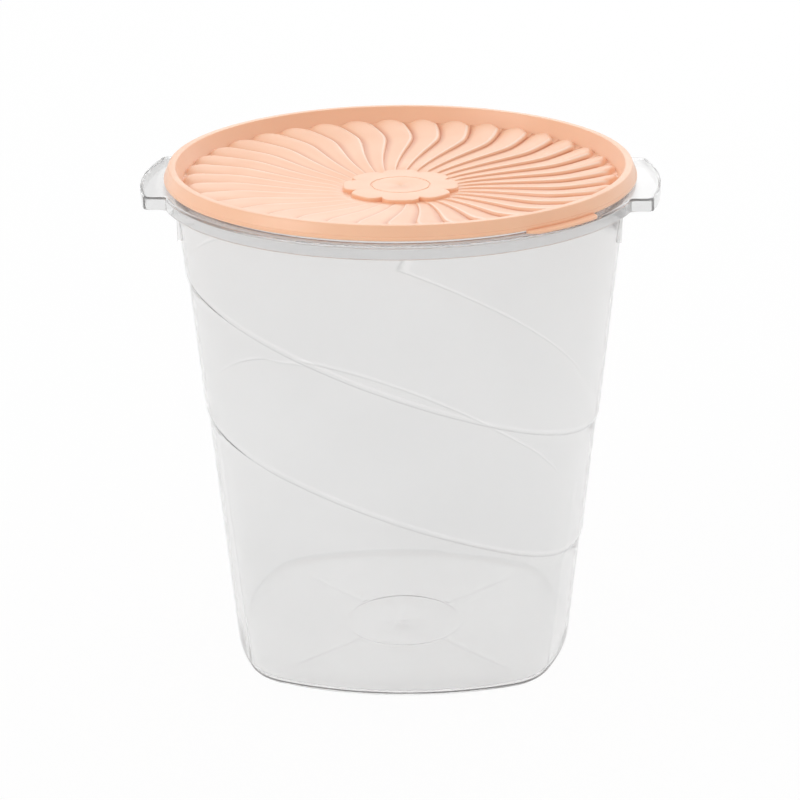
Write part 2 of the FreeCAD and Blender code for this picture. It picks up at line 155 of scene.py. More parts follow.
class CanisterLidSizes(PropertyGroup):
    """Sizes of the soft lid, with heights over the base of the tub."""
    wall: length("Lid wall", "Thickness of the lid", 0.0013)
    crest_height: length("Crest height", "Top of the rim", 0.2774)
    crest_inner: length("Crest inner radius", "Inner edge of the rim's top", 0.1216)
    crest_outer: length("Crest outer radius", "Outer edge of the rim's top", 0.1254)
    crest_round: length("Crest round", "Radius of the rim's upper edges", 0.0009)
    channel_inner: length("Channel inner radius", "Inside of the channel that takes the neck", 0.1219)
    channel_outer: length("Channel outer radius", "Outside of that channel", 0.1243)
    channel_top: length("Channel top", "Ceiling of that channel", 0.2756)
    plug_depth: length("Plug depth", "How far the lid's plug stands inside the neck", 0.003)
    lip_radius: length("Lip radius", "Outer edge of the lip", 0.128)
    lip_low: length("Lip low", "Lower edge of the lip", 0.2698)
    bead: length("Bead", "Height of the bead along the lip's edge", 0.0016)
    bead_groove: length("Bead groove", "Depth of the groove over the bead", 0.0004)
    panel_radius: length("Panel radius", "Foot of the rim's inner wall", 0.118)
    panel_edge: length("Panel edge", "Height of the panel at its edge", 0.2686)
    panel_middle: length("Panel middle", "Height of the panel at the boss", 0.2606)
    pleats: IntProperty(name="Pleats", description="Number of pleats", default=36, min=3)
    pleat_inner_height: length("Pleat height inside", "Height of a pleat beside the boss", 0.0009)
    pleat_outer_height: length("Pleat height outside", "Height of a pleat near its tip", 0.0036)
    pleat_start: length("Pleat start", "Radius where the swirl starts", 0.029)
    pleat_tip: length("Pleat tip", "Radius that the pleats' tips reach", 0.1178)
    tip_round: length("Tip round", "Length over which a tip rounds down", 0.0050)
    tip_sag: length("Tip sag", "How far a tip's sides fall back", 0.0070)
    knee_radius: length("Knee radius", "Radius where a crease bends back", 0.087)
    inner_swirl: angle("Inner swirl", "Turn of a crease from the boss to its knee", 10.8)
    outer_swirl: angle("Outer swirl", "Turn of a crease from its knee to the edge", 5.4)
    pleat_phase: angle("Pleat phase", "Direction of the first crease at its knee", -13.2)
    boss_lobes: IntProperty(name="Boss lobes", description="Lobes of the centre boss", default=8, min=3)
    boss_tip: length("Boss tip", "Radius to a lobe's tip", 0.0315)
    boss_half_width: length("Boss half width", "Half the width of a lobe", 0.0103)
    boss_root: length("Boss root", "Radius from which a lobe rounds off", 0.020)
    boss_power: FloatProperty(name="Boss power", description="Squareness of the lobes", default=3.2, min=2)
    boss_turn: angle("Boss turn", "Turn of the first lobe", 2.5)
    boss_top: length("Boss top", "Height of the boss's upper face", 0.2636)
    boss_round: length("Boss round", "Radius of the boss's upper edge", 0.0009)
    boss_ring: length("Boss ring", "Radius of the ring groove on the boss", 0.016)
    boss_ring_width: length("Boss ring width", "Width of that groove", 0.001)
    boss_ring_depth: length("Boss ring depth", "Depth of that groove", 0.0004)
    tab_radius: length("Tab radius", "Outer edge of the lift tab", 0.1323)
    tab_low: length("Tab low", "Lower face of the lift tab", 0.2686)
    tab_thickness: length("Tab thickness", "Thickness of the lift tab", 0.0015)
    tab_start: angle("Tab start", "Direction of the tab's first end", -58)
    tab_span: angle("Tab span", "Turn from the tab's first end to its last", 21)


class CanisterFinish(PropertyGroup):
    """Colours and surface values of the two plastics."""
    lid_colour: colour("Lid colour", "Peach of the lid", (0.98, 0.555, 0.345))
    # Painted shade: the creases are darkened towards this colour; the random mottle uses it too.
    lid_mottle_and_painted_shade: colour("Lid shade", "Deeper peach in creases and thicker places", (0.68, 0.25, 0.11))
    # Painted highlight: a paler colour laid along the pleats' crests.
    lid_painted_highlight: colour("Lid crest", "Paler plastic along the pleats' crests", (1.0, 0.72, 0.56))
    lid_roughness: share("Lid roughness", "Satin of the lid", 0.32)
    lid_veil: share("Lid veil", "Pale veil of the soft plastic at a flat angle", 0.2)
    lid_glow: share("Lid glow", "How much light spreads inside the soft plastic", 0.08)
    clear_tint: colour("Clear tint", "Light that a tub wall lets through", (0.914, 0.915, 0.915))
    clear_streak: colour("Clear streak", "Light let through along flow marks", (0.90, 0.901, 0.901))
    # Painted shade: darker light through the outer step lines, the floor, the flange's top, the ears and the
    # skirt.
    clear_painted_shade: colour("Clear edge", "Light let through by step lines and thick places", (0.66, 0.66, 0.66))
    # Painted glint: full light through the pale lines just over the steps on the inside.
    clear_painted_glint: colour("Clear glint", "Light let through by the pale lines over the steps", (1.0, 1.0, 1.0))
    clear_roughness: share("Clear roughness", "Haze of the tub's surface", 0.015)


class CanisterStage(PropertyGroup):
    """Studio floor, light and camera."""
    floor_size: length("Floor size", "Side of the pale floor", 12)
    floor_colour: colour("Floor colour", "Pale floor", (0.92, 0.92, 0.92))
    floor_glow: share("Floor glow", "Share of the floor that reads as plain white", 0.94)
    horizon: share("Horizon", "Strength of the light from the level backdrop", 1.0)
    near_side: share("Near side", "Strength of the light from the near side of the studio", 0.66)
    zenith: share("Zenith", "Strength of the light from overhead", 0.77)
    key_power: FloatProperty(
        name="Key power", description="Power of the left lamp", default=11, unit="POWER")
    back_power: FloatProperty(
        name="Back power", description="Power of the rear lamp", default=15, unit="POWER")
    lens: FloatProperty(
        name="Lens", description="Focal length on a 36 mm sensor", default=111.15, unit="CAMERA")
    camera_place: FloatVectorProperty(
        name="Camera place", description="Where the camera stands", default=(0.0554, -1.2982, 0.6250),
        subtype="TRANSLATION", unit="LENGTH")
    camera_pitch: angle("Camera pitch", "How far the camera looks down", 20.53)
    camera_yaw: angle("Camera yaw", "Turn of the camera about the vertical", 2.5)
    camera_roll: angle("Camera roll", "Turn of the picture", -0.484)


# Meshes from rows of points
def ring(radius, level, headings):
    """Level circle of points at the given headings."""
    return np.column_stack((
        radius * np.cos(headings), radius * np.sin(headings), np.full(len(headings), level)))


def pole(level):
    """Single point on the axis."""
    return np.array([[0.0, 0.0, level]])


def quarter(count):
    """How much of a rounding is gone one way and left the other, at even turns."""
    return [(1 - math.cos(turn), 1 - math.sin(turn)) for turn in np.linspace(0, QUARTER_TURN, count)]


def rounded(corners, steps=4):
    """Closed outline through corners of (across, up, radius), with an arc where there is a radius."""
    points = []
    for number, (across, up, radius) in enumerate(corners):
        here = np.array((across, up))
        if radius == 0:
            points.append(here)
            continue
        before = np.array(corners[number - 1][:2]) - here
        after = np.array(corners[(number + 1) % len(corners)][:2]) - here
        before /= np.linalg.norm(before)
        after /= np.linalg.norm(after)
        half = math.acos(np.clip(before @ after, -1, 1)) / 2
        bisector = (before + after) / np.linalg.norm(before + after)
        centre = here + bisector * radius / math.sin(half)
        start = here + before * radius / math.tan(half) - centre
        end = here + after * radius / math.tan(half) - centre
        sweep = math.pi - 2 * half
        for step in range(steps + 1):
            turn = sweep * step / steps
            points.append(centre + (
                start * math.sin(sweep - turn) + end * math.sin(turn)) / math.sin(sweep))
    return points


def lattice(rows, closed=False):
    """Vertices and faces of a skin over rows of points that run once round; one point is a pole."""
    starts = np.cumsum([0] + [len(row) for row in rows])
    faces = []
    pairs = list(zip(range(len(rows) - 1), range(1, len(rows))))
    if closed:
        pairs.append((len(rows) - 1, 0))
    for low, high in pairs:
        count = max(len(rows[low]), len(rows[high]))
        for here in range(count):
            after = (here + 1) % count
            corners = []
            for row, places in ((low, (here, after)), (high, (after, here))):
                spots = (0,) if len(rows[row]) == 1 else places
                corners.extend(int(starts[row] + spot) for spot in spots)
            faces.append(corners)
    return np.vstack(rows), faces


def make_piece(name, points, faces, material, body, sharp=35, marks=None):
    """Closed skin with its faces outwards, riding on a body, with values marked on its points."""
    mesh = bpy.data.meshes.new(name)
    mesh.from_pydata([tuple(point) for point in points], [], faces)
    for label, values in (marks or {}).items():
        mesh.attributes.new(label, "FLOAT", "POINT").data.foreach_set("value", values)
    return finish_piece(name, mesh, material, body, sharp)


def finish_piece(name, mesh, material, body, sharp):
    """Turn a mesh's faces outwards, shade it and ride it on a body."""
    edit = bmesh.new()
    edit.from_mesh(mesh)
    bmesh.ops.recalc_face_normals(edit, faces=edit.faces)
    for face in edit.faces:
        face.smooth = True
    edit.to_mesh(mesh)
    edit.free()
    mesh.set_sharp_from_angle(angle=math.radians(sharp))
    mesh.materials.clear()
    mesh.materials.append(material)
    piece = bpy.data.objects.new(name, mesh)
    bpy.context.scene.collection.objects.link(piece)
    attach(piece, body)
    return piece


# Node trees
class TreeMaker:
    """Adds nodes to one tree, linking or setting the inputs that each is given."""

    def __init__(self, tree):
        self.tree = tree

    def fill(self, node, inputs):
        """Link or set inputs of a node, given by name or number."""
        for place, value in inputs.items():
            if isinstance(value, bpy.types.NodeSocket):
                self.tree.links.new(value, node.inputs[place])
            else:
                node.inputs[place].default_value = value

    def add(self, kind, inputs=None, **settings):
        node = self.tree.nodes.new(kind)
        for name, value in settings.items():
            setattr(node, name, value)
        self.fill(node, inputs or {})
        return node

    def math(self, operation, *values):
        return self.add("ShaderNodeMath", dict(enumerate(values)), operation=operation).outputs[0]

    def times(self, first, second):
        return self.math("MULTIPLY", first, second)

    def less(self, first, second):
        return self.math("SUBTRACT", first, second)

    def between(self, low, high, factor):
        """Value that runs from low to high as factor runs from 0 to 1."""
        return self.math("MULTIPLY_ADD", self.less(high, low), factor, low)

    def smooth_step(self, value, low, high):
        node = self.add("ShaderNodeMapRange", {"Value": value, "From Min": low, "From Max": high},
                        interpolation_type="SMOOTHSTEP")
        return node.outputs["Result"]

    def curve(self, value, points):
        """Float curve through points of (place, height)."""
        node = self.add("ShaderNodeFloatCurve", {"Value": value})
        line = node.mapping.curves[0]
        line.points[0].location = points[0]
        line.points[1].location = points[-1]
        for place, height in points[1:-1]:
            line.points.new(place, height)
        node.mapping.update()
        return node.outputs[0]

    def turned_copies(self, points, block, turn):
        """Real copies of a block at points, each turned about the axis."""
        about_axis = self.add("ShaderNodeCombineXYZ", {2: turn})
        spin = self.add("FunctionNodeEulerToRotation", {0: about_axis.outputs[0]})
        copies = self.add("GeometryNodeInstanceOnPoints", {
            "Points": points, "Instance": block, "Rotation": spin.outputs[0]})
        return self.add("GeometryNodeRealizeInstances", {"Geometry": copies.outputs[0]}).outputs[0]


def sockets(kind, *labels):
    """Labels of a tree's inputs or outputs, each with its type."""
    return [(label, "NodeSocket" + kind) for label in labels]


def new_tree(name, kind, inputs, outputs):
    """Node tree with named inputs and outputs, and its maker, input node and output node."""
    tree = bpy.data.node_groups.new(name, kind)
    for label, socket in inputs:
        tree.interface.new_socket(label, in_out="INPUT", socket_type=socket)
    for label, socket in outputs:
        tree.interface.new_socket(label, in_out="OUTPUT", socket_type=socket)
    maker = TreeMaker(tree)
    return tree, maker, maker.add("NodeGroupInput"), maker.add("NodeGroupOutput")


def built_mesh(name, tree, values, thickness=0.0):
    """Plain mesh of a geometry tree with its inputs set by name, thickened downwards if asked."""
    holder = bpy.data.objects.new(name, bpy.data.meshes.new(name))
    bpy.context.scene.collection.objects.link(holder)
    modifier = holder.modifiers.new(name, "NODES")
    modifier.node_group = tree
    for socket in tree.interface.items_tree:
        if socket.in_out == "INPUT":
            modifier[socket.identifier] = values[socket.name]
    if thickness:
        solid = holder.modifiers.new("thickness", "SOLIDIFY")
        solid.thickness = thickness
        solid.offset = -1
    view = bpy.context.evaluated_depsgraph_get()
    mesh = bpy.data.meshes.new_from_object(holder.evaluated_get(view), depsgraph=view)
    bpy.data.objects.remove(holder)
    mesh.name = name
    return mesh


# Finishes
def grain_group():
    """Shared look of moulded plastic: fine grain and broad flow clouds on object coordinates."""
    name = "moulding_grain"
    if name in bpy.data.node_groups:
        return bpy.data.node_groups[name]
    tree, make, given, result = new_tree(
        name, "ShaderNodeTree", sockets("Float", "Grain Scale", "Cloud Scale"),
        sockets("Float", "Grain", "Cloud"))
    place = make.add("ShaderNodeTexCoord").outputs["Object"]
    grain = make.add("ShaderNodeTexNoise", {
        "Vector": place, "Scale": given.outputs["Grain Scale"], "Detail": 3.0, "Roughness": 0.6})
    cloud = make.add("ShaderNodeTexNoise", {
        "Vector": place, "Scale": given.outputs["Cloud Scale"], "Detail": 2.0, "Roughness": 0.45,
        "Distortion": 0.6})
    make.fill(result, {
        "Grain": grain.outputs["Fac"], "Cloud": make.smooth_step(cloud.outputs["Fac"], 0.35, 0.65)})
    return tree


def new_material(name, grain_scale, cloud_scale):
    """Material with a principled shader and the shared grain, and the maker of its nodes."""
    material = bpy.data.materials.new(name)
    material.use_nodes = True
    make = TreeMaker(material.node_tree)
    shader = material.node_tree.nodes["Principled BSDF"]
    grain = make.add("ShaderNodeGroup", {
        "Grain Scale": grain_scale, "Cloud Scale": cloud_scale}, node_tree=grain_group())
    return material, make, shader, grain


def mix_colours(make, factor, first, second):
    """Colour between two colours or colour sockets."""
    return make.add("ShaderNodeMix", {"Factor": factor, 6: first, 7: second}, data_type="RGBA").outputs[2]


def mix_surface(make, factor, first, second):
    """Make a material's surface a mix of two shaders."""
    mixed = make.add("ShaderNodeMixShader", {0: factor, 1: first.outputs[0], 2: second.outputs[0]})
    make.fill(make.tree.nodes["Material Output"], {"Surface": mixed.outputs[0]})


def peach_plastic(finish):
    """Satin peach polyethylene with painted shade in the creases and a painted highlight along the crests,
    faintly mottled, with a fine moulded grain.
    """
    name = "peach_polyethylene"
    if name in bpy.data.materials:
        return bpy.data.materials[name]
    material, make, shader, grain = new_material(name, 2600.0, 38.0)
    # The crease attribute holds painted shade in the creases and, below zero, a painted highlight along the
    # crests.
    crease = make.add("ShaderNodeAttribute", attribute_name="crease").outputs["Fac"]
    mottle = make.times(grain.outputs["Cloud"], 0.05)
    depth = make.math("MAXIMUM", mottle, crease)
    tint = mix_colours(make, depth, finish.lid_colour, finish.lid_mottle_and_painted_shade)
    # Painted highlight along the crests.
    tint = mix_colours(make, make.times(crease, -1.0), tint, finish.lid_painted_highlight)
    rough = make.math("MULTIPLY_ADD", grain.outputs["Cloud"], 0.05, finish.lid_roughness)
    bump = make.add("ShaderNodeBump", {
        "Strength": 0.12, "Distance": 0.0001, "Height": grain.outputs["Grain"]})
    make.fill(shader, {
        "Base Color": tint, "Roughness": rough, "Normal": bump.outputs["Normal"],
        "Specular IOR Level": 0.75, "Sheen Weight": finish.lid_veil, "Sheen Roughness": 0.5,
        "Subsurface Weight": finish.lid_glow, "Subsurface Radius": (1.0, 0.5, 0.3),
        "Subsurface Scale": 0.0015})
    return material


def clear_plastic(finish):
    """Clear rigid plastic with faint flow marks and a slightly wavy moulded surface, with painted shade along
    the outer step lines and over the floor, flange, ears and skirt, and painted glints along the inner step
    lines.
    """
    name = "clear_moulded_plastic"
    if name in bpy.data.materials:
        return bpy.data.materials[name]
    material, make, shader, grain = new_material(name, 900.0, 9.0)
    # Above zero the attribute is painted shade; below zero it is a painted glint.
    edge = make.add("ShaderNodeAttribute", attribute_name="painted_shade_and_glint").outputs["Fac"]
    tint = mix_colours(make, grain.outputs["Cloud"], finish.clear_tint, finish.clear_streak)
    tint = mix_colours(make, edge, tint, finish.clear_painted_shade)
    tint = mix_colours(make, make.times(edge, -1.0), tint, finish.clear_painted_glint)
    rough = make.math("MULTIPLY_ADD", grain.outputs["Grain"], 0.015, finish.clear_roughness)
    bump = make.add("ShaderNodeBump", {
        "Strength": 0.02, "Distance": 0.0002, "Height": grain.outputs["Cloud"]})
    make.fill(shader, {
        "Base Color": tint, "Roughness": rough, "Normal": bump.outputs["Normal"],
        "Transmission Weight": 0.9, "IOR": 1.3})
    path = make.add("ShaderNodeLightPath")
    lit_through = make.math("MAXIMUM", path.outputs["Is Shadow Ray"], path.outputs["Is Diffuse Ray"])
    clear = make.add("ShaderNodeBsdfTransparent", {"Color": finish.clear_tint})
    mix_surface(make, lit_through, shader, clear)
    return material


# Tub
def flange_edge(sizes):
    """Points and outward normals along the outer edge of the flange and its two ears, anticlockwise."""
    flange = sizes.neck_radius + sizes.flange_reach
    ear = flange + sizes.ear_reach
    half = sizes.ear_half_length
    root_aside = half + sizes.ear_root
    root_centre = (math.sqrt((flange + sizes.ear_root) ** 2 - root_aside ** 2), root_aside)
    tip_aside = half - sizes.ear_corner
    tip_centre = (math.sqrt((ear - sizes.ear_corner) ** 2 - tip_aside ** 2), tip_aside)
    root_turn = math.atan2(root_centre[1], root_centre[0])
    tip_turn = math.atan2(tip_centre[1], tip_centre[0])
    runs = [
        ((0.0, 0.0), ear, 0.0, tip_turn, 28, 1),
        (tip_centre, sizes.ear_corner, tip_turn, QUARTER_TURN, 8, 1),
        (root_centre, sizes.ear_root, -QUARTER_TURN, root_turn - math.pi, 6, -1),
        ((0.0, 0.0), flange, root_turn, QUARTER_TURN, 66, 1),
    ]
    points = []
    normals = []
    for centre, radius, start, end, steps, side in runs:
        for step in range(steps):
            turn = start + (end - start) * step / steps
            outward = np.array((math.cos(turn), math.sin(turn)))
            points.append(np.array(centre) + radius * outward)
            normals.append(side * outward)
    top = (np.array([[0.0, flange]]), np.array([[0.0, 1.0]]))
    upper = (np.vstack((points, top[0])), np.vstack((normals, top[1])))
    flip = np.array((-1.0, 1.0))
    both = [np.vstack((part, (part * flip)[-2::-1])) for part in upper]
    return [np.vstack((part, -part[1:-1])) for part in both]


class TubSkin:
    """Rows of points of the tub's skin, with one column for each point of the flange's edge."""

    def __init__(self, sizes):
        self.sizes = sizes
        self.edge_points, self.edge_normals = flange_edge(sizes)
        self.headings = np.arctan2(self.edge_points[:, 1], self.edge_points[:, 0])
        centre = sizes.base_half_width - sizes.base_side_radius
        radius_step = sizes.base_side_radius - sizes.base_corner_radius
        self.side_centre = centre
        self.corner_centre = (centre + math.sqrt(2 * radius_step ** 2 - centre ** 2)) / 2
        self.seam = math.atan2(self.corner_centre, self.corner_centre - centre)

    def wall(self, level, tier, inset):
        """Row on the wall at a level, below tier steps, set in by inset; each may change along the row."""
        sizes = self.sizes
        level = np.broadcast_to(level, self.headings.shape)
        rise = level / sizes.flange_top
        quarter = np.floor((self.headings + self.seam) / QUARTER_TURN)
        turn = self.headings - quarter * QUARTER_TURN
        on_side = turn <= self.seam
        base_radius = np.where(on_side, sizes.base_side_radius, sizes.base_corner_radius)
        across = np.where(on_side, self.side_centre, self.corner_centre) * (1 - rise)
        along = np.where(on_side, 0.0, self.corner_centre) * (1 - rise)
        radius = (1 - rise) * (base_radius + 2 * sizes.step_depth)
        radius = radius + rise * (sizes.neck_radius - sizes.shoulder) - tier * sizes.step_depth - inset
        across = across + radius * np.cos(turn)
        along = along + radius * np.sin(turn)
        swing = quarter * QUARTER_TURN
        return np.column_stack((
            across * np.cos(swing) - along * np.sin(swing),
            across * np.sin(swing) + along * np.cos(swing), level))

    def step_line(self, height, tier):
        """Levels of a slanted step line along the wall."""
        sizes = self.sizes
        level = np.full(self.headings.shape, height)
        for _ in range(LEVEL_ROUNDS):
            row = self.wall(level, tier, 0.0)
            fall = math.cos(sizes.step_heading) * row[:, 0] + math.sin(sizes.step_heading) * row[:, 1]
            level = height - math.tan(sizes.step_tilt) * fall
        return level

    def wall_levels(self, low, high):
        """Levels and tiers of the rows up the wall, crisp along each step line and fading below it."""
        sizes = self.sizes
        crisp = CRISP_SHARE * sizes.step_bevel
        rows = []
        below = np.full(self.headings.shape, low)
        for tier, height in ((2, sizes.lower_step), (1, sizes.upper_step)):
            line = self.step_line(height, tier - 1)
            foot = line - sizes.step_bevel
            for part in np.linspace(0, 1, 7)[:-1]:
                rows.append((below + (foot - below) * part, tier))
            for part in (0, 0.2, 0.4, 0.6, 0.8, 0.93, 1):
                rows.append((foot + (line - foot) * part, tier - part ** 2))
            for rise in (1, 2, 3):
                rows.append((line + rise * crisp, tier - 1))
            below = line + 4 * crisp
        top = np.full(self.headings.shape, high)
        for part in np.linspace(0, 1, 7):
            rows.append((below + (top - below) * part, 0))
        return rows

    def outer_shade(self, row):
        """How much an outer row is darkened by painted shade: fully along the step lines, partly on the thick
        flange, its ears and skirt.
        """
        sizes = self.sizes
        outside_neck = np.hypot(row[:, 0], row[:, 1]) > sizes.neck_radius + sizes.flange_wall / 4
        on_flange = outside_neck & (row[:, 2] > sizes.flange_top - 2 * sizes.skirt_depth)
        on_top = row[:, 2] > sizes.flange_top - sizes.edge_round / 4
        thick = np.where(on_top, sizes.flange_painted_shade, sizes.skirt_painted_shade)
        return np.maximum(np.where(on_flange, thick, 0.0), self.step_mark(row, 0.0))

    def inner_shade(self, row):
        """How much painted shade an inner row gets over the thick floor; below zero, a painted glint along
        the bright step lines.
        """
        sizes = self.sizes
        on_floor = row[:, 2] < sizes.floor + 0.5 * sizes.base_round
        crisp = CRISP_SHARE * sizes.step_bevel
        # Painted glint lines just over each step line on the inside.
        glint = self.step_mark(row, 2 * crisp) + self.step_mark(row, 3 * crisp)
        return np.where(on_floor, sizes.floor_painted_shade, -glint)

    def step_mark(self, row, lift):
        """1 for the points of a row that lie at a lift over a step line, else 0."""
        mark = np.zeros(len(row))
        if len(row) > 1:
            for height, tier in ((self.sizes.lower_step, 1), (self.sizes.upper_step, 0)):
                line = self.step_line(height, tier) + lift
                away = np.abs(row[:, 2] - line) / (MARK_SHARE * self.sizes.step_bevel)
                mark = np.maximum(mark, np.clip(1 - away, 0, 1))
        return mark

    def edge(self, inset, level):
        """Row along the flange's edge, drawn in by inset."""
        plan = self.edge_points - inset * self.edge_normals
        return np.column_stack((plan, np.full(len(plan), level)))

    def circle(self, radius, level):
        """Level circle with the skin's columns."""
        return ring(radius, level, self.headings)

    def outside(self):
        """Rows from the middle of the base up the outside of the wall."""
        sizes = self.sizes
        rows = [pole(0.0), self.circle(0.4 * sizes.base_half_width, 0.0)]
        for gone, left in quarter(7)[:-1]:
            rows.append(self.wall(sizes.base_round * gone, 2, sizes.base_round * left))
        for level, tier in self.wall_levels(sizes.base_round, sizes.flange_top - sizes.flange_wall):
            rows.append(self.wall(level, tier, 0.0))
        return rows

    def flange(self):
        """Rows from under the flange round its skirt to the foot of the neck."""
        sizes = self.sizes
        under = sizes.flange_top - sizes.flange_wall
        low = sizes.flange_top - sizes.skirt_depth
        small = sizes.flange_wall / 3
        rows = []
        for gone, left in quarter(4):
            rows.append(self.edge(sizes.flange_wall + small * left, under - small * gone))
        for gone, left in quarter(4):
            rows.append(self.edge(sizes.flange_wall - small * gone, low + small * left))
        for gone, left in quarter(4):
            rows.append(self.edge(small * left, low + small * gone))
        big = sizes.edge_round
        for gone, left in quarter(7):
            rows.append(self.edge(big * gone, sizes.flange_top - big * left))
        return rows

    def neck(self):
        """Rows up the outside of the neck, over its lip and down to the shoulder inside."""
        sizes = self.sizes
        top = sizes.flange_top + sizes.neck_height
        small = sizes.wall / 3
        outer = sizes.neck_radius
        inner = sizes.neck_radius - sizes.wall
        rows = []
        for gone, left in quarter(4):
            rows.append(self.circle(outer + small * left, sizes.flange_top + small * gone))
        for gone, left in quarter(5):
            rows.append(self.circle(outer - small * gone, top - small * left))
        for gone, left in quarter(5):
            rows.append(self.circle(inner + small * left, top - small * gone))
        rows.append(self.circle(inner, sizes.flange_top + small))
        return rows

    def ridge(self, plan):
        """Height of the four soft ridges over the floor at points of the plan."""
        sizes = self.sizes
        along = (np.abs(plan[:, 0]) + np.abs(plan[:, 1])) / math.sqrt(2)
        aside = np.abs(np.abs(plan[:, 0]) - np.abs(plan[:, 1])) / math.sqrt(2)
        bump = np.clip(1 - (aside / sizes.ridge_width) ** 2, 0, 1)
        fade = np.clip((sizes.ring_radius + sizes.ridge_length - along) / sizes.ridge_width, 0, 1)
        return sizes.mark_height * bump * fade

    def inside(self):
        """Rows from the shoulder down the inside of the wall and over the floor to its middle."""
        sizes = self.sizes
        bend = sizes.base_round - sizes.wall
        rows = []
        for level, tier in reversed(self.wall_levels(sizes.floor + bend, sizes.flange_top - sizes.wall)):
            rows.append(self.wall(level, tier, sizes.wall))
        for gone, left in quarter(6)[1:]:
            rows.append(self.wall(sizes.floor + bend * left, 2, sizes.wall + bend * gone))
        soft = sizes.mark_height
        middle = sizes.ring_radius - sizes.ring_width / 2
        edge = rows[-1][:, :2]
        for part in np.linspace(0, 1, 14)[1:]:
            plan = edge + part * (self.circle(sizes.ring_radius, 0)[:, :2] - edge)
            rows.append(np.column_stack((plan, sizes.floor + self.ridge(plan))))
        for turn in np.linspace(-math.pi, math.pi, 9):
            radius = middle - sizes.ring_width / 2 * turn / math.pi
            rows.append(self.circle(radius, sizes.floor + soft * (1 + math.cos(turn)) / 2))
        for radius, lift in ((8 * soft, 0), (6 * soft, soft / 2), (4 * soft, soft)):
            rows.append(self.circle(radius, sizes.floor + lift))
        rows.append(pole(sizes.floor + soft))
        return rows


class CANISTER_OT_tub(Operator):
    """Build the clear tub: stepped tapering wall, neck, flange, grip ears and floor"""
    bl_idname = "canister.tub"
    bl_label = "Clear tub"

    def execute(self, context):
        skin = TubSkin(context.scene.canister_tub)
        outer = skin.outside() + skin.flange() + skin.neck()
        inner = skin.inside()
        points, faces = lattice(outer + inner)
        material = clear_plastic(context.scene.canister_finish)
        shades = [skin.outer_shade(row) for row in outer] + [skin.inner_shade(row) for row in inner]
        marks = {"painted_shade_and_glint": np.concatenate(shades)}
        piece = make_piece("tub_shell", points, faces, material, "tub", marks=marks)
        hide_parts("tub")
        return {"FINISHED"}


def copies_tree():
    """Geometry tree that repeats one block at evenly spaced turns about the axis, in one or two rows."""
    tree, make, given, result = new_tree(
        "block_copies", "GeometryNodeTree",
        sockets("Float", "Length", "Width", "Height", "Reach", "Level", "Side Step")
        + sockets("Int", "Turns", "Rows") + sockets("Material", "Material"),
        sockets("Geometry", "Geometry"))
    want = given.outputs
    size = make.add("ShaderNodeCombineXYZ", {0: want["Length"], 1: want["Width"], 2: want["Height"]})
    block = make.add("GeometryNodeMeshCube", {"Size": size.outputs[0]})
    spots = make.add("GeometryNodePoints", {"Count": make.times(want["Turns"], want["Rows"])})
    index = make.add("GeometryNodeInputIndex").outputs[0]
    row = make.math("MODULO", index, want["Rows"])
    step = make.math("FLOOR", make.math("DIVIDE", index, want["Rows"]))
    turn = make.times(step, make.math("DIVIDE", FULL_TURN, want["Turns"]))
    middle = make.math("DIVIDE", make.less(want["Rows"], 1.0), 2.0)
    aside = make.times(make.less(row, middle), want["Side Step"])
    start = make.add("ShaderNodeCombineXYZ", {0: want["Reach"], 1: aside, 2: want["Level"]}).outputs[0]
    place = make.add("ShaderNodeVectorRotate", {"Vector": start, "Angle": turn}, rotation_type="Z_AXIS")
    moved = make.add("GeometryNodeSetPosition", {"Geometry": spots.outputs[0], "Position": place.outputs[0]})
    real = make.turned_copies(moved.outputs[0], block.outputs["Mesh"], turn)
    painted = make.add("GeometryNodeSetMaterial", {"Geometry": real, "Material": want["Material"]})
    make.fill(result, {0: painted.outputs[0]})
    return tree


class CANISTER_OT_lugs(Operator):
    """Build the four stacking lugs under the ears"""
    bl_idname = "canister.lugs"
    bl_label = "Stacking lugs"

    def execute(self, context):
        sizes = context.scene.canister_tub
        material = clear_plastic(context.scene.canister_finish)
        low = sizes.flange_top - sizes.lug_drop
        high = sizes.flange_top - sizes.flange_wall
        reach = sizes.neck_radius - sizes.lug_setback
        mesh = built_mesh("lugs", copies_tree(), {
            "Length": sizes.lug_depth, "Width": sizes.lug_thickness, "Height": high - low,
            "Reach": reach - sizes.lug_depth / 2, "Level": (low + high) / 2,
            "Side Step": sizes.lug_spacing, "Turns": 2, "Rows": 2, "Material": material})
        finish_piece("tub_lugs", mesh, material, "tub", 35)
        return {"FINISHED"}


# Lid
def lid_piece(context, name, rows, sharp=50, closed=False):
    """Build a piece of the lid as a skin over rows of points."""
    points, faces = lattice(rows, closed)
    material = peach_plastic(context.scene.canister_finish)
    make_piece(name, points, faces, material, "lid", sharp)


